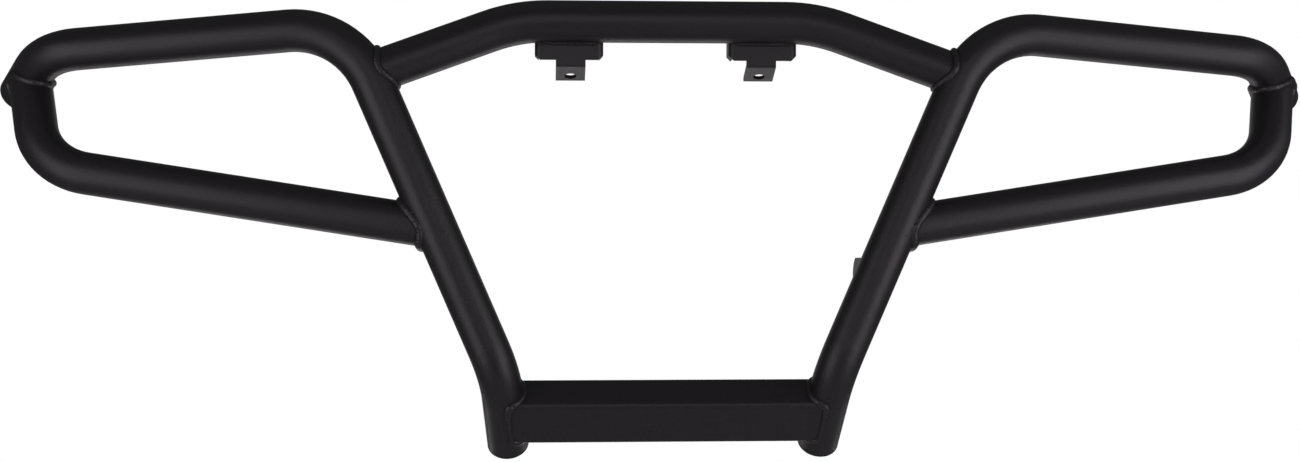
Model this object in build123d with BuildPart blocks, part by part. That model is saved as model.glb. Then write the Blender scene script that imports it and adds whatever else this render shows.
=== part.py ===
from build123d import *
from math import cos, radians, sin
import os

# Front grille guard of an all-terrain vehicle, welded from bent round steel tube.
# Millimetres. +Z is up and the front faces -Y. The guard is the same on both sides of
# X = 0, so each paired piece is made on the right (+X) and mirrored to the left.
# The origin is midway between the two upper bolt holes, on the upper face of their tabs.

# Round tube that every bar is bent from
TUBE_OD = 31.75
TUBE_WALL = 2.4

# Upper brackets: folded plates under the top bar, each with a sloping tab for one bolt
BOLT_SPACING = 145.0
BOLT_HOLE_D = 9.0
PLATE = 3.0
BRACKET_WIDTH = 52.0
BRACKET_OUTBOARD = 1.2
BRACKET_DEPTH = 20.0
BRACKET_DROP = 12.5
BRACKET_CHAMFER = 4.0
BRACKET_SETBACK = 6.0
BRACKET_CORNER = 5.0
TAB_WIDTH = 22.5
TAB_SLOPE = 21.0
TAB_LENGTH = 24.0
TAB_HOLE_AT = 16.0
TAB_BEND_DROP = 16.5

# Top bar: level in the middle, its ends fall to the uprights
BAR_MIDDLE = 225.0
BAR_BEND = 118.0
BAR_END_DROP = 41.5
BAR_SETBACK = 2.0

# Uprights: foot, upright and upper wing are one tube on each side
UPRIGHT_AHEAD = 16.0
SHOULDER_WIDTH = 475.0
SHOULDER_DROP = 6.0
SHOULDER_BEND = 63.5
ANKLE_WIDTH = 250.0
ANKLE_DROP = 260.0
ANKLE_BEND = 50.8
FOOT_WIDTH = 241.0
FOOT_LENGTH = 75.0
FOOT_LEAN = 43.5

# Upper wings: the outer part of the same tube, swept back and turned away at its end
WING_WIDTH = 932.0
WING_BACK = 32.0
WING_DROP = 17.5
WING_BEND = 50.8
TIP_OUT = 30.0
TIP_BACK = 44.0
TIP_DROP = 27.0

# Lower wings: from the upright out, then up under the tip of the upper wing
LOWER_DROP = 149.5
LOWER_SETBACK = 4.0
LOWER_WIDTH = 933.0
LOWER_BACK = 20.5
LOWER_TURN_DROP = 104.0
LOWER_BEND = 50.8
LOWER_TOP_SPARE = 2.8
LOWER_TOP_AHEAD = 1.5

# Crossmember: rectangular tube between the feet, square to them
CROSS_HEIGHT = 43.5
CROSS_DEPTH = 29.0
CROSS_WALL = 2.5
CROSS_CORNER = 4.0
CROSS_BELOW_ANKLE = 17.5
CROSS_INSET = 0.5

# Side tabs: flat plates behind the uprights, each with one cross bolt hole
SIDE_TAB_PLATE = 5.0
SIDE_TAB_HEIGHT = 30.0
SIDE_TAB_REACH = 46.0
SIDE_TAB_DROP = 172.5
SIDE_TAB_INBOARD = 16.0
SIDE_TAB_FRONT = 4.0
SIDE_HOLE_D = 9.0

# Moulded end plugs
PLUG_RIM = 2.0
PLUG_DOME = 3.0
PLUG_SHANK = 14.0
PLUG_CLEARANCE = 0.15

# Weld beads
BEAD = 3.4
BRACKET_BEAD = 1.6
BEAD_STEPS = 24

TUBE_R = TUBE_OD / 2
BORE = TUBE_OD - 2 * TUBE_WALL

# Side view of the upper bracket, from the bolt hole back to the axis of the top bar
slope = radians(TAB_SLOPE)
tab_run = Vector(0, cos(slope), -sin(slope))
tab_up = Vector(0, sin(slope), cos(slope))
tab_fold = tab_up * (-PLATE / 2) - tab_run * TAB_HOLE_AT
plate_front = tab_fold.Y - PLATE / 2
bar_y = tab_fold.Y - BRACKET_SETBACK
bar_z = tab_fold.Z + TAB_BEND_DROP + TUBE_R

# Places in the frame, from the axis of the top bar
upright_y = bar_y - UPRIGHT_AHEAD
shoulder_z = bar_z - SHOULDER_DROP
lean = radians(FOOT_LEAN)
foot_down = Vector(0, sin(lean), -cos(lean))
foot_front = Vector(0, -cos(lean), -sin(lean))


def upright_axis(drop):
    """Point on the straight part of the right upright, a given drop below its shoulder."""
    half = SHOULDER_WIDTH / 2 - (SHOULDER_WIDTH - ANKLE_WIDTH) / 2 * drop / ANKLE_DROP
    return Vector(half, upright_y, shoulder_z - drop)


def opposite(point):
    """The same point on the left side."""
    return Vector(-point.X, point.Y, point.Z)


def bar(points, bends, bore=0.0):
    """Round bar along straight runs joined by bends, or a tube where a bore is given."""
    with BuildPart() as piece:
        with BuildLine() as route:
            FilletPolyline(*points, radius=bends)
        with BuildSketch(Plane(origin=route.line @ 0, z_dir=route.line % 0)):
            Circle(TUBE_R)
            if bore:
                Circle(bore / 2, mode=Mode.SUBTRACT)
        sweep()
    return piece.part


def write(piece, name):
    """Label a finished piece and write its file."""
    piece.label = name
    export_step(piece, f"parts/{name}.step")


def write_pair(piece, name):
    """Write a right-hand piece and its mirror image."""
    write(piece, f"{name}_right")
    write(mirror(piece, about=Plane.YZ), f"{name}_left")


os.makedirs("parts", exist_ok=True)

# Uprights
ankle = upright_axis(ANKLE_DROP)
shoulder = upright_axis(0)
foot_fall = foot_down * FOOT_LENGTH
foot = Vector(FOOT_WIDTH / 2, ankle.Y + foot_fall.Y, ankle.Z + foot_fall.Z)
corner = Vector(WING_WIDTH / 2, shoulder.Y + WING_BACK, shoulder.Z - WING_DROP)
tip = corner + Vector(TIP_OUT, TIP_BACK, -TIP_DROP)
upright_route = (foot, ankle, shoulder, corner, tip)
upright_bends = [ANKLE_BEND, SHOULDER_BEND, WING_BEND]
upright_envelope = bar(upright_route, upright_bends)
write_pair(bar(upright_route, upright_bends, BORE), "upright")

# Top bar, coped on both uprights
bar_end = upright_axis(BAR_END_DROP - SHOULDER_DROP) + Vector(0, BAR_SETBACK, 0)
bar_bend = Vector(BAR_MIDDLE / 2, bar_y, bar_z)
bar_route = (opposite(bar_end), opposite(bar_bend), bar_bend, bar_end)
bar_envelope = bar(bar_route, BAR_BEND)
with BuildPart() as top_bar:
    add(bar(bar_route, BAR_BEND, BORE))
    add(upright_envelope, mode=Mode.SUBTRACT)
    add(mirror(upright_envelope, about=Plane.YZ), mode=Mode.SUBTRACT)
write(top_bar.part, "top_bar")

# Lower wings, coped on the upright at one end and under the wing tip at the other
lower_start = upright_axis(LOWER_DROP) + Vector(0, LOWER_SETBACK, 0)
lower_turn = Vector(LOWER_WIDTH / 2, upright_y + LOWER_BACK, shoulder_z - LOWER_TURN_DROP)
joint_from_end = TUBE_R + BEAD + LOWER_TOP_SPARE
lower_top = tip + (corner - tip).normalized() * joint_from_end - Vector(0, LOWER_TOP_AHEAD, 0)
lower_route = (lower_start, lower_turn, lower_top)
lower_envelope = bar(lower_route, LOWER_BEND)
with BuildPart() as lower_wing:
    add(bar(lower_route, LOWER_BEND, BORE))
    add(upright_envelope, mode=Mode.SUBTRACT)
write_pair(lower_wing.part, "lower_wing")

# Crossmember, with its front face just inside the front of the feet
cross_centre = ankle + foot_down * (CROSS_BELOW_ANKLE + CROSS_HEIGHT / 2)
cross_centre += foot_front * (TUBE_R - CROSS_INSET - CROSS_DEPTH / 2)
cross_centre.X = 0
cross_plane = Plane(origin=cross_centre, x_dir=foot_down, z_dir=(1, 0, 0))
with BuildSketch(cross_plane) as cross_outline:
    RectangleRounded(CROSS_HEIGHT, CROSS_DEPTH, CROSS_CORNER)
cross_block = extrude(cross_outline.sketch, amount=ANKLE_WIDTH / 2, both=True)
with BuildPart() as crossmember:
    add(cross_block)
    with BuildSketch(cross_plane):
        inner_height = CROSS_HEIGHT - 2 * CROSS_WALL
        inner_depth = CROSS_DEPTH - 2 * CROSS_WALL
        RectangleRounded(inner_height, inner_depth, CROSS_CORNER - CROSS_WALL)
    extrude(amount=ANKLE_WIDTH / 2, both=True, mode=Mode.SUBTRACT)
    add(upright_envelope, mode=Mode.SUBTRACT)
    add(mirror(upright_envelope, about=Plane.YZ), mode=Mode.SUBTRACT)
write(crossmember.part, "crossmember")

# Upper brackets: a channel open to the rear, with the bolt tab folded from its front plate
bolt_x = BOLT_SPACING / 2
bracket_x = bolt_x + BRACKET_OUTBOARD
bracket_bottom = bar_z - TUBE_R - BRACKET_DROP
fold = Vector(bolt_x, tab_fold.Y, tab_fold.Z)
with BuildPart() as bracket:
    with BuildSketch(Plane.XY.offset(bracket_bottom)):
        with Locations((bracket_x, plate_front + BRACKET_DEPTH / 2)):
            Rectangle(BRACKET_WIDTH, BRACKET_DEPTH)
        fillet(vertices().group_by(Axis.Y)[0], BRACKET_CORNER)
        with Locations((bracket_x, plate_front + PLATE + BRACKET_DEPTH / 2)):
            Rectangle(BRACKET_WIDTH - 2 * PLATE, BRACKET_DEPTH, mode=Mode.SUBTRACT)
    extrude(amount=bar_z - bracket_bottom)
    with BuildSketch(Plane.XZ.offset(-plate_front)):
        for edge in (-BRACKET_WIDTH / 2, BRACKET_WIDTH / 2):
            with Locations((bracket_x + edge, bracket_bottom)):
                RegularPolygon(BRACKET_CHAMFER, 4)
    extrude(amount=-BRACKET_DEPTH, mode=Mode.SUBTRACT)
    with BuildSketch(Plane.XZ.offset(-plate_front)):
        with Locations((bolt_x, (bracket_bottom + fold.Z) / 2 + PLATE)):
            Rectangle(TAB_WIDTH, bracket_bottom - fold.Z + 2 * PLATE)
    extrude(amount=-PLATE)
    with BuildSketch(Plane(origin=fold, x_dir=(1, 0, 0), z_dir=tab_up)):
        Rectangle(TAB_WIDTH, TAB_LENGTH, align=(Align.CENTER, Align.MIN))
    extrude(amount=PLATE / 2, both=True)
    with BuildSketch(Plane.YZ.offset(bolt_x)):
        with Locations((fold.Y, fold.Z)):
            Circle(PLATE / 2)
    extrude(amount=TAB_WIDTH / 2, both=True)
    add(bar_envelope, mode=Mode.SUBTRACT)
    with Locations(Plane(origin=(bolt_x, 0, 0), z_dir=tab_up)):
        Hole(BOLT_HOLE_D / 2)
write_pair(bracket.part, "top_bracket")

# Side tabs: fore and aft plates with a rounded rear end
tab_root = upright_axis(SIDE_TAB_DROP)
tab_inner = tab_root.X - SIDE_TAB_INBOARD
tab_outer = tab_inner + SIDE_TAB_PLATE
tab_middle = tab_root.Z - SIDE_TAB_HEIGHT / 2
tab_front = tab_root.Y + SIDE_TAB_FRONT
tab_eye = tab_root.Y + SIDE_TAB_REACH - SIDE_TAB_HEIGHT / 2
with BuildPart() as side_tab:
    with BuildSketch(Plane.YZ.offset(tab_inner)):
        with Locations(((tab_front + tab_eye) / 2, tab_middle)):
            Rectangle(tab_eye - tab_front, SIDE_TAB_HEIGHT)
        with Locations((tab_eye, tab_middle)):
            Circle(SIDE_TAB_HEIGHT / 2)
            Circle(SIDE_HOLE_D / 2, mode=Mode.SUBTRACT)
    extrude(amount=SIDE_TAB_PLATE)
    add(upright_envelope, mode=Mode.SUBTRACT)
write_pair(side_tab.part, "side_tab")


def plug(end, outward):
    """Moulded plug in the open end of a tube: domed rim outside, shank in the bore."""
    shank = BORE / 2 - PLUG_CLEARANCE
    crown = PLUG_RIM + PLUG_DOME
    dome_radius = (TUBE_R**2 + PLUG_DOME**2) / (2 * PLUG_DOME)
    across = outward.cross(Vector(1, 0, 0)).normalized()
    with BuildPart() as piece:
        with BuildSketch(Plane(origin=end, x_dir=across, z_dir=across.cross(outward))):
            with BuildLine():
                Polyline((0, crown), (0, -PLUG_SHANK), (shank, -PLUG_SHANK), (shank, 0))
                Polyline((shank, 0), (TUBE_R, 0), (TUBE_R, PLUG_RIM))
                RadiusArc((TUBE_R, PLUG_RIM), (0, crown), -dome_radius)
            make_face()
        revolve(axis=Axis(end, outward))
    return piece.part


write_pair(plug(foot, (foot - ankle).normalized()), "foot_plug")
write_pair(plug(tip, (tip - corner).normalized()), "wing_plug")


def seam(starts, heading, run):
    """Where lines that start beside a run and go along one heading first meet its skin."""
    stops = []
    for start in starts:
        hits = [point for point, _ in run.find_intersection_points(Axis(start, heading))]
        ahead = [point for point in hits if (point - start).dot(heading) > 0]
        if ahead:
            stops.append(min(ahead, key=lambda point: (point - start).length))
    return stops


def tube_seam(end, heading, run):
    """Seam round a tube whose axis ends on the axis of the run that it meets."""
    start = end - heading * TUBE_OD
    circle = Edge.make_circle(TUBE_R, Plane(origin=start, z_dir=heading))
    starts = [circle @ (step / BEAD_STEPS) for step in range(BEAD_STEPS)]
    return seam(starts, heading, run)


def ring_bead(stops, neighbours):
    """Round bead laid from stop to stop and back to the first, trimmed by what it joins."""
    with BuildPart() as bead:
        for here, there in zip(stops, stops[1:] + stops[:1]):
            with BuildSketch(Plane(origin=here, z_dir=there - here)):
                Circle(BEAD)
            extrude(amount=(there - here).length)
            with Locations(here):
                Sphere(BEAD)
        for neighbour in neighbours:
            add(neighbour, mode=Mode.SUBTRACT)
    return bead.part


def straight_bead(start, end, neighbours):
    """Round bead along one straight seam, trimmed by what it joins."""
    with BuildPart() as bead:
        with BuildSketch(Plane(origin=start, z_dir=end - start)):
            Circle(BRACKET_BEAD)
        extrude(amount=(end - start).length)
        for neighbour in neighbours:
            add(neighbour, mode=Mode.SUBTRACT)
    return bead.part


# Weld beads: rings round the coped ends
heading = (bar_end - bar_bend).normalized()
stops = tube_seam(bar_end, heading, upright_envelope)
write_pair(ring_bead(stops, [upright_envelope, bar_envelope]), "weld_top_bar")

heading = (lower_start - lower_turn).normalized()
stops = tube_seam(lower_start, heading, upright_envelope)
write_pair(ring_bead(stops, [upright_envelope, lower_envelope]), "weld_lower_wing")

heading = (lower_top - lower_turn).normalized()
stops = tube_seam(lower_top, heading, upright_envelope)
write_pair(ring_bead(stops, [upright_envelope, lower_envelope]), "weld_wing_tip")

outline = cross_outline.sketch.faces()[0].outer_wire()
starts = [outline @ (step / BEAD_STEPS) for step in range(BEAD_STEPS)]
stops = seam(starts, Vector(1, 0, 0), upright_envelope)
write_pair(ring_bead(stops, [upright_envelope, cross_block]), "weld_crossmember")

# Weld beads: straight runs along the bracket plates and the side tabs
reach = BRACKET_WIDTH / 2 - BRACKET_CORNER
below = [Vector(bracket_x + end, plate_front, fold.Z) for end in (-reach, reach)]
stops = seam(below, Vector(0, 0, 1), bar_envelope)
write_pair(straight_bead(*stops, [bar_envelope, bracket.part]), "weld_bracket")

behind = [
    Vector(tab_outer, tab_root.Y + TUBE_OD, tab_root.Z - share * SIDE_TAB_HEIGHT)
    for share in (0.2, 0.9)
]
stops = seam(behind, Vector(0, -1, 0), upright_envelope)
write_pair(straight_bead(*stops, [upright_envelope, side_tab.part]), "weld_side_tab")
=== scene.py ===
import logging
import math
import random
from dataclasses import dataclass, field
from enum import Enum
from typing import Any, Iterable, Sequence

import bpy
import numpy as np
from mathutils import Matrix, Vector
from mathutils.bvhtree import BVHTree


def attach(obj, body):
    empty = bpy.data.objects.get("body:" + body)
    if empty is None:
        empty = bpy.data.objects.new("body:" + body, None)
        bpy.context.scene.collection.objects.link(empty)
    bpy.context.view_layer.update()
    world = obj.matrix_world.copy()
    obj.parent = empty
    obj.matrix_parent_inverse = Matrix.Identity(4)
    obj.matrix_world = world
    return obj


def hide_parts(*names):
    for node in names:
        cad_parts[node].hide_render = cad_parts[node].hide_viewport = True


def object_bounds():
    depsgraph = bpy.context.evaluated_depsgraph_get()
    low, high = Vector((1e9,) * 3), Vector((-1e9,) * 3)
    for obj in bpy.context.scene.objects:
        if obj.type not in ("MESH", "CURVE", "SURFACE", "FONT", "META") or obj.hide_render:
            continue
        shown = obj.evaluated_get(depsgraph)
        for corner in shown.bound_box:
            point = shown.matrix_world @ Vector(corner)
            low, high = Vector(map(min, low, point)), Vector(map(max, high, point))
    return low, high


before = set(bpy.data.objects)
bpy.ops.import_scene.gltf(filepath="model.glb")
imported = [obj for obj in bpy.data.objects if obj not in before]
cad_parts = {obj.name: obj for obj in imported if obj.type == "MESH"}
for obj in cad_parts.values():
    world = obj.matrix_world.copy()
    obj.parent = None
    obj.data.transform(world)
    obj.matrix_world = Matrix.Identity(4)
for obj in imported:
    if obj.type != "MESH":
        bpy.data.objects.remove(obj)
cad_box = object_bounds()

BODY = "root"
MM = 0.001

log = logging.getLogger("guard")


class Side(Enum):
    """The two sides of the guard, as seen from the front."""

    LEFT = "left"
    RIGHT = "right"


class SeamForm(Enum):
    """How a weld runs: all the way round a tube end, or along one line."""

    RING = "ring"
    RUN = "run"


# ---------------------------------------------------------------- node trees


class Wiring:
    """Adds nodes to one tree and links them; math nodes have one type in both kinds of tree."""

    def __init__(self, tree: bpy.types.NodeTree) -> None:
        """Keeps the tree that nodes are added to."""
        self.tree = tree

    def add(self, kind: str, inputs: dict | None = None, **settings: Any) -> bpy.types.Node:
        """Adds a node and sets it up.

        Args:
            kind: the node's type name.
            inputs: values or output sockets, by input name or number.
            settings: the node's own properties.

        Returns:
            The new node.
        """
        node = self.tree.nodes.new(kind)
        for name, value in settings.items():
            setattr(node, name, value)
        for name, value in (inputs or {}).items():
            self.feed(node.inputs[name], value)
        return node

    def feed(self, socket: bpy.types.NodeSocket, value: Any) -> None:
        """Links an output to a socket, or sets the socket's own value."""
        if isinstance(value, bpy.types.NodeSocket):
            self.tree.links.new(value, socket)
        else:
            socket.default_value = value

    def math(self, operation: str, *values: Any) -> bpy.types.NodeSocket:
        """A Math node's result for one, two or three values."""
        node = self.add("ShaderNodeMath", dict(enumerate(values)), operation=operation)
        return node.outputs[0]

    def vector(self, operation: str, *values: Any, out: str = "Vector") -> bpy.types.NodeSocket:
        """A Vector Math node's named result."""
        node = self.add("ShaderNodeVectorMath", operation=operation)
        for place, value in enumerate(values):
            self.feed(node.inputs["Scale" if operation == "SCALE" and place else place], value)
        return node.outputs[out]


def new_group(
    name: str, kind: str, takes: Sequence[tuple[str, str, Any]], gives: Sequence[tuple[str, str]]
) -> tuple[bpy.types.NodeTree, Wiring, bpy.types.Node, bpy.types.Node]:
    """Makes an empty node group with named sockets.

    Args:
        name: the group's name.
        kind: the tree's type name.
        takes: name, socket type and first value of each input.
        gives: name and socket type of each output.

    Returns:
        The tree, its wiring, and its input and output nodes.
    """
    tree = bpy.data.node_groups.new(name, kind)
    for label, socket_type, value in takes:
        socket = tree.interface.new_socket(label, in_out="INPUT", socket_type=socket_type)
        if value is not None:
            socket.default_value = value
    for label, socket_type in gives:
        tree.interface.new_socket(label, in_out="OUTPUT", socket_type=socket_type)
    wiring = Wiring(tree)
    return tree, wiring, wiring.add("NodeGroupInput"), wiring.add("NodeGroupOutput")


@dataclass
class SurfaceEffects:
    """Shader groups that more than one finish uses."""

    PEBBLE_SHARE = -0.55
    PEEL_SHARE = 0.8
    FLECK_GAIN = 0.9
    FLECK_LIFT = 0.2
    EDGE_GAIN = 3.0

    powder: bpy.types.NodeTree = field(init=False)
    edge: bpy.types.NodeTree = field(init=False)

    def __post_init__(self) -> None:
        """Builds both groups once."""
        self.powder = self._powder_texture()
        self.edge = self._thin_edges()

    def _powder_texture(self) -> bpy.types.NodeTree:
        """Cured powder: fine pebbled grain on a soft orange peel, with slow drift in gloss."""
        takes = [
            ("Vector", "NodeSocketVector", None),
            ("Grain Scale", "NodeSocketFloat", 1200.0),
            ("Peel Scale", "NodeSocketFloat", 260.0),
            ("Drift Scale", "NodeSocketFloat", 9.0),
        ]
        gives = [("Height", "NodeSocketFloat"), ("Fleck", "NodeSocketFloat"), ("Drift", "NodeSocketFloat")]
        tree, w, given, made = new_group("powder_texture", "ShaderNodeTree", takes, gives)
        place = given.outputs["Vector"]
        scales = {label: given.outputs[f"{label} Scale"] for label in ("Grain", "Peel", "Drift")}
        noise = {
            label: w.add(
                "ShaderNodeTexNoise", {"Vector": place, "Scale": scale, "Detail": 2.0}
            ).outputs[0]
            for label, scale in scales.items()
        }
        pebble = w.add(
            "ShaderNodeTexVoronoi",
            {"Vector": place, "Scale": scales["Grain"], "Smoothness": 0.6},
            feature="SMOOTH_F1",
        ).outputs["Distance"]
        grain = w.math("MULTIPLY_ADD", pebble, self.PEBBLE_SHARE, noise["Grain"])
        height = w.math("MULTIPLY_ADD", noise["Peel"], self.PEEL_SHARE, grain)
        w.feed(made.inputs["Height"], height)
        fleck = w.math("MULTIPLY_ADD", grain, self.FLECK_GAIN, self.FLECK_LIFT)
        w.feed(made.inputs["Fleck"], fleck)
        w.feed(made.inputs["Drift"], noise["Drift"])
        return tree

    def _thin_edges(self) -> bpy.types.NodeTree:
        """Sharp plate edges, where powder pulls thin and handling rubs it, broken up by noise."""
        takes = [
            ("Vector", "NodeSocketVector", None),
            ("Width", "NodeSocketFloat", 0.0008),
            ("Breakup Scale", "NodeSocketFloat", 220.0),
        ]
        tree, w, given, made = new_group(
            "thin_edges", "ShaderNodeTree", takes, [("Mask", "NodeSocketFloat")]
        )
        rounded = w.add("ShaderNodeBevel", {"Radius": given.outputs["Width"]}, samples=4)
        facing = w.add("ShaderNodeNewGeometry").outputs["Normal"]
        agree = w.vector("DOT_PRODUCT", rounded.outputs["Normal"], facing, out="Value")
        bend = w.math("MULTIPLY", w.math("SUBTRACT", 1.0, agree), self.EDGE_GAIN)
        broken = w.add(
            "ShaderNodeTexNoise",
            {"Vector": given.outputs["Vector"], "Scale": given.outputs["Breakup Scale"], "Detail": 3.0},
        ).outputs[0]
        mask = w.math("MULTIPLY", bend, broken)
        w.feed(made.inputs["Mask"], w.math("MINIMUM", mask, 1.0))
        return tree


# ---------------------------------------------------------------- finishes


@dataclass(frozen=True)
class Finish:
    """A black finish whose grain, gloss and shade vary over the surface."""

    name: str
    dark: tuple[float, float, float]
    light: tuple[float, float, float]
    smooth: float
    rough: float
    grain_scale: float
    peel_scale: float
    relief: float
    drift_scale: float = 9.0
    specular: float = 0.5
    thin_edges: bool = False
    edge_shade: tuple[float, float, float] = (0.05, 0.05, 0.052)
    edge_polish: float = 0.1
    fleck_gloss: float = 0.5

    def build(self, effects: SurfaceEffects) -> bpy.types.Material:
        """Makes the material.

        Args:
            effects: the shader groups that it places.

        Returns:
            The new material.
        """
        material = bpy.data.materials.new(self.name)
        material.use_nodes = True
        material.node_tree.nodes.clear()
        w = Wiring(material.node_tree)
        place = w.add("ShaderNodeTexCoord").outputs["Object"]
        powder = w.add("ShaderNodeGroup", node_tree=effects.powder)
        w.feed(powder.inputs["Vector"], place)
        w.feed(powder.inputs["Grain Scale"], self.grain_scale)
        w.feed(powder.inputs["Peel Scale"], self.peel_scale)
        w.feed(powder.inputs["Drift Scale"], self.drift_scale)

        colour = w.add("ShaderNodeMix", data_type="RGBA")
        w.feed(colour.inputs["Factor"], powder.outputs["Fleck"])
        w.feed(colour.inputs["A"], (*self.dark, 1.0))
        w.feed(colour.inputs["B"], (*self.light, 1.0))
        shade = colour.outputs["Result"]
        gloss = w.math("MULTIPLY_ADD", powder.outputs["Fleck"], self.fleck_gloss, powder.outputs["Drift"])
        spread = self.rough - self.smooth
        roughness = w.math("MULTIPLY_ADD", gloss, spread, self.smooth)
        if self.thin_edges:
            edges = w.add("ShaderNodeGroup", {"Vector": place}, node_tree=effects.edge)
            worn = w.add("ShaderNodeMix", data_type="RGBA")
            w.feed(worn.inputs["Factor"], edges.outputs["Mask"])
            w.feed(worn.inputs["A"], shade)
            w.feed(worn.inputs["B"], (*self.edge_shade, 1.0))
            shade = worn.outputs["Result"]
            roughness = w.math("MULTIPLY_ADD", edges.outputs["Mask"], -self.edge_polish, roughness)
        bump = w.add(
            "ShaderNodeBump",
            {"Height": powder.outputs["Height"], "Strength": 1.0, "Distance": self.relief},
        )
        shader = w.add(
            "ShaderNodeBsdfPrincipled",
            {
                "Base Color": shade,
                "Roughness": roughness,
                "Specular IOR Level": self.specular,
                "Normal": bump.outputs["Normal"],
            },
        )
        w.add("ShaderNodeOutputMaterial", {"Surface": shader.outputs[0]})
        return material


def dress(node: str, material: bpy.types.Material) -> None:
    """Gives a CAD node its material, on the object's own slots.

    Args:
        node: the CAD node's name.
        material: what it is finished in.
    """
    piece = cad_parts[node]
    if not piece.material_slots:
        piece.data.materials.append(material)
    for slot in piece.material_slots:
        slot.link = "OBJECT"
        slot.material = material


# ---------------------------------------------------------------- pieces that CAD shapes


@dataclass
class TubeFrame:
    """The bent tubes and the crossmember, as the frame has them."""

    coat: Finish
    across: tuple[str, ...] = ("top_bar", "crossmember")
    kinds: tuple[str, ...] = ("upright", "lower_wing")

    def build(self, effects: SurfaceEffects) -> None:
        """Dresses every bar of the frame in one coat."""
        material = self.coat.build(effects)
        paired = [f"{kind}_{side.value}" for kind in self.kinds for side in Side]
        for node in (*self.across, *paired):
            dress(node, material)
            log.info("%s: %s", node, self.coat.name)


@dataclass
class Plates:
    """The folded upper brackets and the flat side tabs."""

    coat: Finish
    kinds: tuple[str, ...] = ("top_bracket", "side_tab")

    def build(self, effects: SurfaceEffects) -> None:
        """Dresses the plates, whose edges the powder leaves thin."""
        material = self.coat.build(effects)
        for kind in self.kinds:
            for side in Side:
                dress(f"{kind}_{side.value}", material)
                log.info("%s_%s: %s", kind, side.value, self.coat.name)


@dataclass
class EndPlugs:
    """Moulded plugs in the open tube ends."""

    plastic: Finish
    kinds: tuple[str, ...] = ("foot_plug", "wing_plug")

    def build(self, effects: SurfaceEffects) -> None:
        """Dresses the plugs in matt plastic."""
        material = self.plastic.build(effects)
        for kind in self.kinds:
            for side in Side:
                dress(f"{kind}_{side.value}", material)
                log.info("%s_%s: %s", kind, side.value, self.plastic.name)


# ---------------------------------------------------------------- weld beads


@dataclass(frozen=True)
class Seam:
    """One kind of weld and the two CAD nodes that it joins.

    The bead is the CAD bead's radius. Its share is flush where the skins run level, grows by
    the power swell as they turn into a corner, and stops at fullest.
    """

    node: str
    form: SeamForm
    first: str
    second: str
    bead: float = 3.4 * MM
    flush: float = 0.75
    swell: float = 1.3
    fullest: float = 1.5
    spatter: int = 9

    def on(self, side: Side, name: str) -> str:
        """A node's name on one side; the bars that cross the middle have one name."""
        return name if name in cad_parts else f"{name}_{side.value}"


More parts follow.
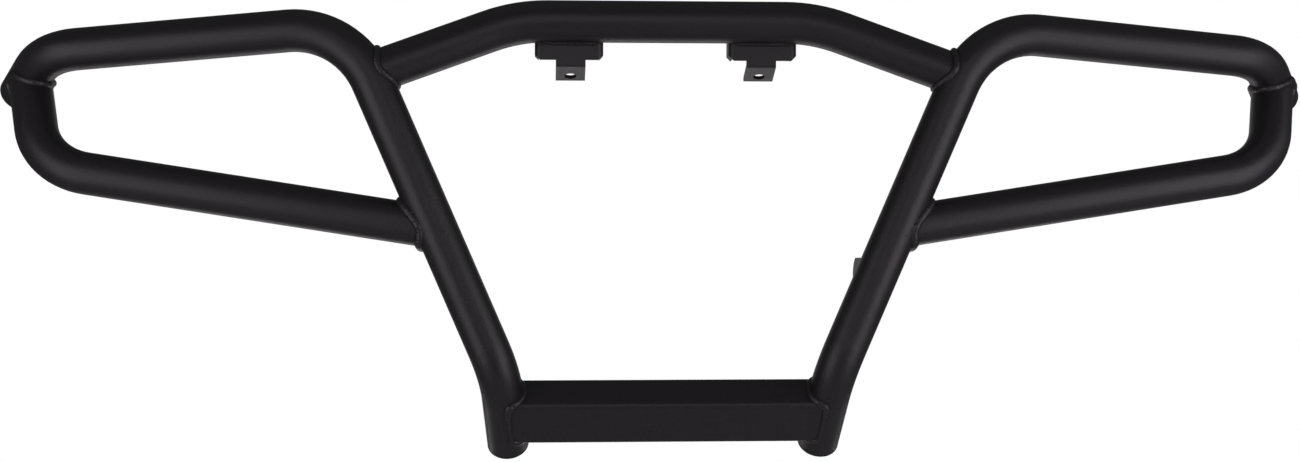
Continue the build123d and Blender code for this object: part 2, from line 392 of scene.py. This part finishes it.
class SeamPath:
    """The line of a seam, read from the frame: where a weld node touches both bars.

    Sink is the share of the bead below the seam, and deepest is the least flare that counts.
    """

    TOUCH = 0.25 * MM
    STATIONS = 120
    SINK = 0.3
    DEEPEST = 0.46
    REACH = 9
    NEAR = 1.4
    ASIDE = 1.5
    ABOVE = 0.5
    THROW = (1.5, 3.4)
    DROPLET = (0.3 * MM, 0.65 * MM)
    DROPLET_CLEAR = 0.5 * MM
    LANDS_WITHIN = 2.5

    def __init__(self, seam: Seam, side: Side) -> None:
        """Finds the path and the way out of the crevice along it.

        Args:
            seam: the weld to follow.
            side: the side that it is on.
        """
        self.seam = seam
        self.node = seam.on(side, seam.node)
        self.bars = [self._skin(seam.on(side, bar)) for bar in (seam.first, seam.second)]
        weld = self._points(self.node)
        corner = np.array([p for p in weld if all(self._gap(bar, p) < self.TOUCH for bar in self.bars)])
        self.points = self._even(self._in_order(corner))
        self.lifts = [self._way_out(weld, point) for point in self.points]
        headings = np.roll(self.points, -1, axis=0) - np.roll(self.points, 1, axis=0)
        if seam.form is SeamForm.RUN:
            headings[:] = self.points[-1] - self.points[0]
        flares = self._smooth([self._flare(*place) for place in zip(self.points, self.lifts, headings)])
        self.hefts = [min(seam.flush / flare**seam.swell, seam.fullest) for flare in flares]
        self.points = np.array([
            point - np.array(lift) * self.SINK * flare * flare * heft * seam.bead
            for point, lift, flare, heft in zip(self.points, self.lifts, flares, self.hefts)
        ])

    @staticmethod
    def _points(node: str) -> np.ndarray:
        """A CAD node's distinct points."""
        co = np.array([v.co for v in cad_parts[node].data.vertices], float)
        return np.unique(co.round(6), axis=0)

    @staticmethod
    def _skin(node: str) -> BVHTree:
        """A CAD node's surface, for finding the nearest point on it."""
        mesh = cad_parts[node].data
        return BVHTree.FromPolygons([v.co for v in mesh.vertices], [p.vertices for p in mesh.polygons])

    @staticmethod
    def _gap(bar: BVHTree, point: Iterable[float]) -> float:
        """How far a point is from a bar's surface."""
        return bar.find_nearest(Vector(point))[3]

    def _in_order(self, corner: np.ndarray) -> np.ndarray:
        """Puts the seam's points in order, round the ring or along the line."""
        centred = corner - corner.mean(0)
        axes = np.linalg.svd(centred, full_matrices=False)[2]
        if self.seam.form is SeamForm.RING:
            turn = np.arctan2(centred @ axes[1], centred @ axes[0])
            return corner[np.argsort(turn)]
        return corner[np.argsort(centred @ axes[0])]

    def _even(self, corner: np.ndarray) -> np.ndarray:
        """Spaces the points evenly along the seam."""
        closed = self.seam.form is SeamForm.RING
        line = np.vstack([corner, corner[:1]]) if closed else corner
        steps = np.linalg.norm(np.diff(line, axis=0), axis=1)
        along = np.concatenate([[0.0], np.cumsum(steps)])
        at = np.linspace(0.0, along[-1], self.STATIONS, endpoint=not closed)
        return np.stack([np.interp(at, along, line[:, axis]) for axis in range(3)], axis=1)

    def _way_out(self, weld: np.ndarray, point: np.ndarray) -> Vector:
        """The direction from the crevice to the crown of the bead."""
        near = weld[np.linalg.norm(weld - point, axis=1) < self.seam.bead * self.NEAR]
        return Vector(near.mean(0) - point).normalized()

    def _flare(self, point: np.ndarray, lift: Vector, heading: np.ndarray) -> float:
        """Cosine of half the turn between the two skins: 1 where they run flush, less in a corner.

        Each bar is looked for on both sides of the seam, away from the cut at its end.
        """
        across = Vector(heading).normalized().cross(lift) * self.seam.bead * self.ASIDE
        above = Vector(point) + lift * self.seam.bead * self.ABOVE
        skins = []
        for bar in self.bars:
            spots = [bar.find_nearest(above + aside) for aside in (-across, across)]
            skins.append(min(spots, key=lambda found: found[3])[1])
        return max(math.cos(skins[0].angle(skins[1], 0.0) / 2), self.DEEPEST)

    def _smooth(self, values: list[float]) -> list[float]:
        """Evens out values along the seam over a few stations each way."""
        reach = range(-self.REACH, self.REACH + 1)
        count = len(values)
        if self.seam.form is SeamForm.RING:
            return [sum(values[(at + step) % count] for step in reach) / len(reach) for at in range(count)]
        spans = [[min(max(at + step, 0), count - 1) for step in reach] for at in range(count)]
        return [sum(values[i] for i in span) / len(span) for span in spans]

    def spatter(self, draw: random.Random) -> list[tuple[Vector, float]]:
        """Places droplets that landed beside the bead.

        Args:
            draw: the seeded source of random numbers.

        Returns:
            Each droplet's centre on a bar's skin, and its radius.
        """
        landed = []
        last = len(self.points) - 2
        for _ in range(self.seam.spatter):
            here = draw.randrange(1, last)
            point = Vector(self.points[here])
            heading = (Vector(self.points[here + 1]) - point).normalized()
            lift = self.lifts[here]
            across = heading.cross(lift) * draw.choice((-1, 1))
            throw = draw.uniform(*self.THROW) * self.seam.bead
            radius = draw.uniform(*self.DROPLET)
            start = point + lift * self.seam.bead + across * throw
            spots = [bar.find_nearest(start) for bar in self.bars]
            spot, _, _, gap = min(spots, key=lambda found: found[3])
            outside = spot + (start - spot).normalized() * MM
            clear = all(self._gap(bar, outside) > self.DROPLET_CLEAR for bar in self.bars)
            if gap < self.LANDS_WITHIN * self.seam.bead and clear:
                landed.append((spot, radius))
        return landed


@dataclass
class WeldBeads:
    """Rippled beads along every seam, laid by one Geometry Nodes tree."""

    coat: Finish
    seams: tuple[Seam, ...]
    pitch: float = 2.3 * MM
    depth: float = 0.24 * MM
    unevenness: float = 0.32
    sides: int = 14
    seed: int = 7

    STEPS_PER_RIPPLE = 7.0
    BLUNT_END = 0.08
    WANDER_SCALE = 130.0
    LUMP_SCALE = 420.0
    LUMP_SHARE = 0.9
    TOE_LAG = 0.9
    JITTER = 3.2

    def build(self, effects: SurfaceEffects) -> None:
        """Lays the beads on both sides."""
        material = self.coat.build(effects)
        tree = self._bead_tree()
        draw = random.Random(self.seed)
        for seam in self.seams:
            for side in Side:
                path = SeamPath(seam, side)
                piece = self._lay(path, tree, material, draw)
                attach(piece, BODY)
                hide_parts(path.node)
                log.info("%s: %d faces", piece.name, len(piece.data.polygons))

    def _guide(self, path: SeamPath, draw: random.Random) -> bpy.types.Object:
        """A mesh of the seam's line, with droplets as loose points, for the tree to read."""
        count = len(path.points)
        drops = path.spatter(draw)
        mesh = bpy.data.meshes.new(f"guide_{path.node}")
        edges = [(i, i + 1) for i in range(count - 1)]
        if path.seam.form is SeamForm.RING:
            edges.append((count - 1, 0))
        mesh.from_pydata([*map(Vector, path.points), *[spot for spot, _ in drops]], edges, [])
        lift = mesh.attributes.new("lift", "FLOAT_VECTOR", "POINT")
        out = [*path.lifts, *[Vector((0, 0, 1))] * len(drops)]
        lift.data.foreach_set("vector", np.array(out, np.float32).ravel())
        drop = mesh.attributes.new("drop", "FLOAT", "POINT")
        drop.data.foreach_set("value", np.array([0.0] * count + [r for _, r in drops], np.float32))
        heft = mesh.attributes.new("heft", "FLOAT", "POINT")
        heft.data.foreach_set("value", np.array(path.hefts + [1.0] * len(drops), np.float32))
        guide = bpy.data.objects.new(f"guide_{path.node}", mesh)
        bpy.context.scene.collection.objects.link(guide)
        return guide

    def _lay(
        self, path: SeamPath, tree: bpy.types.NodeTree, material: bpy.types.Material, draw: random.Random
    ) -> bpy.types.Object:
        """Runs the tree along one seam and keeps the result as a plain mesh."""
        guide = self._guide(path, draw)
        modifier = guide.modifiers.new("bead", "NODES")
        modifier.node_group = tree
        values = {
            "Bead Radius": path.seam.bead,
            "Ripple Pitch": self.pitch,
            "Ripple Depth": self.depth,
            "Unevenness": self.unevenness,
            "Sides": self.sides,
            "Seed": draw.uniform(0, 100),
            "Open Ends": path.seam.form is SeamForm.RUN,
            "Coat": material,
        }
        for item in tree.interface.items_tree:
            if item.item_type == "SOCKET" and item.in_out == "INPUT" and item.name in values:
                modifier[item.identifier] = values[item.name]
        depsgraph = bpy.context.evaluated_depsgraph_get()
        mesh = bpy.data.meshes.new_from_object(guide.evaluated_get(depsgraph))
        bpy.data.objects.remove(guide)
        mesh.name = path.node.replace("weld_", "bead_")
        piece = bpy.data.objects.new(mesh.name, mesh)
        bpy.context.scene.collection.objects.link(piece)
        return piece

    def _bead_tree(self) -> bpy.types.NodeTree:
        """Geometry Nodes: a tube along the guide, raised in crescent ripples, and its droplets."""
        takes = [
            ("Guide", "NodeSocketGeometry", None),
            ("Bead Radius", "NodeSocketFloat", Seam.bead),
            ("Ripple Pitch", "NodeSocketFloat", self.pitch),
            ("Ripple Depth", "NodeSocketFloat", self.depth),
            ("Unevenness", "NodeSocketFloat", self.unevenness),
            ("Sides", "NodeSocketInt", self.sides),
            ("Seed", "NodeSocketFloat", 0.0),
            ("Open Ends", "NodeSocketBool", False),
            ("Coat", "NodeSocketMaterial", None),
        ]
        tree, w, given, made = new_group(
            "weld_bead", "GeometryNodeTree", takes, [("Bead", "NodeSocketGeometry")]
        )
        drop = w.add("GeometryNodeInputNamedAttribute", {"Name": "drop"}, data_type="FLOAT").outputs[0]
        is_drop = w.add("FunctionNodeCompare", {0: drop, 1: 0.0}, operation="GREATER_THAN")
        parts = w.add(
            "GeometryNodeSeparateGeometry",
            {"Geometry": given.outputs["Guide"], "Selection": is_drop.outputs[0]},
        )

        line = w.add("GeometryNodeMeshToCurve", {"Mesh": parts.outputs["Inverted"]})
        spacing = w.math("DIVIDE", given.outputs["Ripple Pitch"], self.STEPS_PER_RIPPLE)
        curve = w.add(
            "GeometryNodeResampleCurve",
            {"Curve": line.outputs[0], "Length": spacing},
            mode="LENGTH",
        )
        along = w.add("GeometryNodeSplineParameter").outputs["Length"]
        total = w.add("GeometryNodeSplineLength").outputs["Length"]
        to_end = w.math("MINIMUM", along, w.math("SUBTRACT", total, along))
        taper = w.math("DIVIDE", to_end, given.outputs["Bead Radius"])
        rounded = w.math("SQRT", w.math("MINIMUM", w.math("ADD", taper, self.BLUNT_END), 1.0))
        ends = w.add(
            "GeometryNodeSwitch",
            {"Switch": given.outputs["Open Ends"], "False": 1.0, "True": rounded},
            input_type="FLOAT",
        ).outputs[0]
        place = w.add("GeometryNodeInputPosition").outputs[0]
        wander = w.add(
            "ShaderNodeTexNoise",
            {"Vector": place, "W": given.outputs["Seed"], "Scale": self.WANDER_SCALE, "Detail": 1.0},
            noise_dimensions="4D",
        ).outputs[0]
        stray = w.math("SUBTRACT", wander, 0.5)
        swell = w.math("MULTIPLY_ADD", stray, given.outputs["Unevenness"], 1.0)
        heft = w.add("GeometryNodeInputNamedAttribute", {"Name": "heft"}, data_type="FLOAT").outputs[0]
        width = w.math("MULTIPLY", w.math("MULTIPLY", ends, swell), heft)
        sized = w.add("GeometryNodeSetCurveRadius", {"Curve": curve.outputs[0], "Radius": width})
        marked = w.add(
            "GeometryNodeStoreNamedAttribute",
            {"Geometry": sized.outputs[0], "Name": "along", "Value": along},
            data_type="FLOAT",
            domain="POINT",
        )
        profile = w.add(
            "GeometryNodeCurvePrimitiveCircle",
            {"Resolution": given.outputs["Sides"], "Radius": given.outputs["Bead Radius"]},
        )
        tube = w.add(
            "GeometryNodeCurveToMesh",
            {
                "Curve": marked.outputs[0],
                "Profile Curve": profile.outputs[0],
                "Scale": width,
                "Fill Caps": True,
            },
        )
        # ripples lag at the toes, so each one is a crescent
        lift = w.add(
            "GeometryNodeInputNamedAttribute", {"Name": "lift"}, data_type="FLOAT_VECTOR"
        ).outputs[0]
        length = w.add("GeometryNodeInputNamedAttribute", {"Name": "along"}, data_type="FLOAT").outputs[0]
        normal = w.add("GeometryNodeInputNormal").outputs[0]
        crown = w.vector("DOT_PRODUCT", normal, lift, out="Value")
        side = w.math("SUBTRACT", 1.0, crown)
        jitter = w.math("MULTIPLY", stray, self.JITTER)
        phase = w.math("DIVIDE", length, given.outputs["Ripple Pitch"])
        phase = w.math("ADD", w.math("MULTIPLY_ADD", side, self.TOE_LAG, phase), jitter)
        centred = w.math("MULTIPLY_ADD", w.math("FRACT", phase), 2.0, -1.0)
        coin = w.math("SUBTRACT", 0.5, w.math("MULTIPLY", centred, centred))
        lump = w.add(
            "ShaderNodeTexNoise",
            {"Vector": place, "W": given.outputs["Seed"], "Scale": self.LUMP_SCALE, "Detail": 2.0},
            noise_dimensions="4D",
        ).outputs[0]
        rise = w.math("ADD", coin, w.math("MULTIPLY_ADD", lump, self.LUMP_SHARE, -self.LUMP_SHARE / 2))
        push = w.math("MULTIPLY", rise, given.outputs["Ripple Depth"])
        rippled = w.add(
            "GeometryNodeSetPosition",
            {"Geometry": tube.outputs[0], "Offset": w.vector("SCALE", normal, push)},
        )
        bead = w.add("GeometryNodeSetShadeSmooth", {"Geometry": rippled.outputs[0]})

        points = w.add("GeometryNodeMeshToPoints", {"Mesh": parts.outputs["Selection"]})
        ball = w.add("GeometryNodeMeshIcoSphere", {"Radius": 1.0, "Subdivisions": 2})
        soft = w.add("GeometryNodeSetShadeSmooth", {"Geometry": ball.outputs["Mesh"]})
        drops = w.add(
            "GeometryNodeInstanceOnPoints",
            {
                "Points": points.outputs[0],
                "Instance": soft.outputs[0],
                "Scale": w.vector("SCALE", (1.0, 1.0, 1.0), drop),
            },
        )
        join = w.add("GeometryNodeJoinGeometry")
        w.feed(join.inputs[0], bead.outputs[0])
        w.feed(join.inputs[0], drops.outputs[0])
        real = w.add("GeometryNodeRealizeInstances", {0: join.outputs[0]})
        coated = w.add(
            "GeometryNodeSetMaterial", {"Geometry": real.outputs[0], "Material": given.outputs["Coat"]}
        )
        w.feed(made.inputs["Bead"], coated.outputs[0])
        return tree


# ---------------------------------------------------------------- studio


@dataclass(frozen=True)
class SoftBox:
    """A rectangular light that faces the guard: angles in degrees, sizes in metres."""

    TINT = (1.0, 0.96, 0.99)

    name: str
    bearing: float
    height: float
    distance: float
    width: float
    tall: float
    glow: float

    def build(self, target: Vector) -> None:
        """Hangs the light and turns it to the target.

        Args:
            target: the point that it is aimed at.
        """
        turn, rise = math.radians(self.bearing), math.radians(self.height)
        level = math.cos(rise)
        toward = Vector((math.sin(turn) * level, -math.cos(turn) * level, math.sin(rise)))
        lamp = bpy.data.lights.new(self.name, "AREA")
        lamp.shape = "RECTANGLE"
        lamp.size = self.width
        lamp.size_y = self.tall
        lamp.energy = self.glow * self.width * self.tall * math.pi
        lamp.color = self.TINT
        light = bpy.data.objects.new(self.name, lamp)
        light.location = target + toward * self.distance
        light.rotation_euler = (-toward).to_track_quat("-Z", "Y").to_euler()
        light.visible_camera = False
        bpy.context.scene.collection.objects.link(light)


@dataclass
class Studio:
    """Pale floor, soft lights, surrounding light and the camera."""

    camera_place: Vector = field(default_factory=lambda: Vector((-0.0924, -1.4170, -0.1213)))
    camera_turn: float = -3.27
    focal_length: float = 51.2
    sensor_width: float = 36.0
    floor_drop: float = 0.62
    floor_radius: float = 3.4
    floor_fade_from: float = 1.2
    floor_fade_to: float = 0.95
    floor_glow: float = 0.6
    floor_rings: int = 12
    floor_spokes: int = 72
    surround: float = 0.09
    boxes: tuple[SoftBox, ...] = (
        SoftBox("left_box", -50.0, -4.0, 1.2, 0.8, 1.1, 1.5),
        SoftBox("right_box", 50.0, -4.0, 1.2, 0.8, 1.1, 1.75),
        SoftBox("front_box", 0.0, 14.0, 1.6, 0.6, 0.8, 1.1),
        SoftBox("right_rim_box", 75.0, 15.0, 2.4, 0.8, 1.4, 0.6),
        SoftBox("overhead_box", 0.0, 85.0, 2.2, 2.0, 1.6, 0.1),
        SoftBox("low_back_box", 180.0, -38.0, 1.2, 1.6, 0.4, 2.2),
        SoftBox("back_box", 180.0, 3.0, 2.6, 3.6, 1.8, 0.36),
    )

    def build(self) -> None:
        """Sets up everything that isn't the guard."""
        low, high = cad_box
        middle = (low + high) / 2
        self._camera()
        self._surroundings()
        self._floor(middle, low.z - self.floor_drop)
        for box in self.boxes:
            box.build(middle)
        bpy.context.scene.view_settings.view_transform = "Standard"
        log.info("studio: %d lights", len(self.boxes))

    def _camera(self) -> None:
        """A level camera in front of the guard, a little to the left of its middle."""
        lens = bpy.data.cameras.new("camera")
        lens.lens = self.focal_length
        lens.sensor_width = self.sensor_width
        camera = bpy.data.objects.new("camera", lens)
        camera.location = self.camera_place
        camera.rotation_euler = (math.radians(90), 0, math.radians(self.camera_turn))
        bpy.context.scene.collection.objects.link(camera)
        bpy.context.scene.camera = camera

    def _surroundings(self) -> None:
        """Even pale light all round, white where it is seen directly."""
        world = bpy.data.worlds.new("studio")
        world.use_nodes = True
        world.node_tree.nodes.clear()
        w = Wiring(world.node_tree)
        seen = w.add("ShaderNodeBackground", {"Color": (1.0, 1.0, 1.0, 1.0), "Strength": 1.0})
        cast = w.add("ShaderNodeBackground", {"Color": (0.97, 0.98, 1.0, 1.0), "Strength": self.surround})
        direct = w.add("ShaderNodeLightPath").outputs["Is Camera Ray"]
        both = w.add("ShaderNodeMixShader", {0: direct, 1: cast.outputs[0], 2: seen.outputs[0]})
        w.add("ShaderNodeOutputWorld", {"Surface": both.outputs[0]})
        bpy.context.scene.world = world

    def _floor(self, middle: Vector, level: float) -> None:
        """A round pale floor that fades into the surroundings at its rim."""
        rings, spokes = self.floor_rings, self.floor_spokes
        points = [Vector((middle.x, middle.y, level))]
        faces: list[tuple[int, ...]] = []
        for ring in range(1, rings + 1):
            reach = self.floor_radius * ring / rings
            for spoke in range(spokes):
                angle = math.tau * spoke / spokes
                out = Vector((math.cos(angle), math.sin(angle), 0.0)) * reach
                points.append(Vector((middle.x + out.x, middle.y + out.y, level)))
        for spoke in range(spokes):
            after = (spoke + 1) % spokes
            faces.append((0, 1 + spoke, 1 + after))
            for ring in range(rings - 1):
                inner, outer = 1 + ring * spokes, 1 + (ring + 1) * spokes
                faces.append((inner + spoke, outer + spoke, outer + after, inner + after))
        mesh = bpy.data.meshes.new("floor")
        mesh.from_pydata(points, [], faces)
        mesh.materials.append(self._floor_paint())
        floor = bpy.data.objects.new("floor", mesh)
        bpy.context.scene.collection.objects.link(floor)

    def _floor_paint(self) -> bpy.types.Material:
        """Matt pale floor paint, clear towards the rim."""
        material = bpy.data.materials.new("floor_paint")
        material.use_nodes = True
        material.node_tree.nodes.clear()
        w = Wiring(material.node_tree)
        place = w.add("ShaderNodeTexCoord").outputs["Object"]
        reach = w.vector("LENGTH", place, out="Value")
        shown = w.add(
            "ShaderNodeMapRange",
            {
                "Value": reach,
                "From Min": self.floor_fade_from,
                "From Max": self.floor_radius * self.floor_fade_to,
                "To Min": 1.0,
                "To Max": 0.0,
            },
            interpolation_type="SMOOTHERSTEP",
        ).outputs[0]
        mottle = w.add("ShaderNodeTexNoise", {"Vector": place, "Scale": 3.0, "Detail": 4.0}).outputs[0]
        paint = w.add("ShaderNodeMix", data_type="RGBA")
        w.feed(paint.inputs["Factor"], mottle)
        w.feed(paint.inputs["A"], (0.7, 0.7, 0.7, 1.0))
        w.feed(paint.inputs["B"], (0.76, 0.76, 0.76, 1.0))
        matt = w.add("ShaderNodeBsdfDiffuse", {"Color": paint.outputs["Result"]})
        glow = w.add("ShaderNodeEmission", {"Color": (1.0, 1.0, 1.0, 1.0), "Strength": self.floor_glow})
        bright = w.add("ShaderNodeAddShader", {0: matt.outputs[0], 1: glow.outputs[0]})
        direct = w.add("ShaderNodeLightPath").outputs["Is Camera Ray"]
        lit = w.add("ShaderNodeMixShader", {0: direct, 1: matt.outputs[0], 2: bright.outputs[0]})
        clear = w.add("ShaderNodeBsdfTransparent")
        faded = w.add("ShaderNodeMixShader", {0: shown, 1: clear.outputs[0], 2: lit.outputs[0]})
        w.add("ShaderNodeOutputMaterial", {"Surface": faded.outputs[0]})
        return material


# ---------------------------------------------------------------- the guard


FRAME_COAT = Finish(
    name="frame_coat",
    dark=(0.0078, 0.0064, 0.0078),
    light=(0.0158, 0.0132, 0.0156),
    smooth=0.34,
    rough=0.48,
    grain_scale=820.0,
    peel_scale=260.0,
    relief=0.11 * MM,
)
BRACKET_COAT = Finish(
    name="bracket_coat",
    dark=(0.0088, 0.0074, 0.0088),
    light=(0.0168, 0.0142, 0.0166),
    smooth=0.36,
    rough=0.5,
    grain_scale=860.0,
    peel_scale=280.0,
    relief=0.09 * MM,
    thin_edges=True,
)
# The same powder as the frame coat, glossier where it pools. Its dark and light colours are lifted above
# the frame coat's as a painted highlight for the light that the rippled beads catch.
WELD_COAT = Finish(
    name="weld_coat",
    dark=(0.0105, 0.0092, 0.0105),
    light=(0.021, 0.0186, 0.0208),
    smooth=0.26,
    rough=0.42,
    grain_scale=900.0,
    peel_scale=420.0,
    relief=0.08 * MM,
    drift_scale=60.0,
)
PLUG_PLASTIC = Finish(
    name="plug_plastic",
    dark=(0.006, 0.006, 0.0063),
    light=(0.0095, 0.0095, 0.0099),
    smooth=0.5,
    rough=0.66,
    grain_scale=1600.0,
    peel_scale=500.0,
    relief=0.02 * MM,
)

SEAMS = (
    Seam("weld_top_bar", SeamForm.RING, "top_bar", "upright", flush=0.6, swell=1.0, fullest=0.85),
    Seam("weld_lower_wing", SeamForm.RING, "lower_wing", "upright", fullest=1.25),
    Seam("weld_wing_tip", SeamForm.RING, "lower_wing", "upright", fullest=1.0),
    Seam(
        "weld_crossmember", SeamForm.RING, "crossmember", "upright",
        flush=0.3, swell=3.0, fullest=0.9, spatter=0,
    ),
    Seam("weld_bracket", SeamForm.RUN, "top_bar", "top_bracket", bead=1.6 * MM, spatter=2),
    Seam("weld_side_tab", SeamForm.RUN, "side_tab", "upright", bead=1.6 * MM, spatter=2),
)


def main() -> None:
    """Builds the guard's looks and the studio round it."""
    logging.basicConfig(level=logging.INFO, format="%(message)s")
    effects = SurfaceEffects()
    TubeFrame(FRAME_COAT).build(effects)
    Plates(BRACKET_COAT).build(effects)
    EndPlugs(PLUG_PLASTIC).build(effects)
    WeldBeads(WELD_COAT, SEAMS).build(effects)
    Studio().build()


if __name__ == "__main__":
    main()
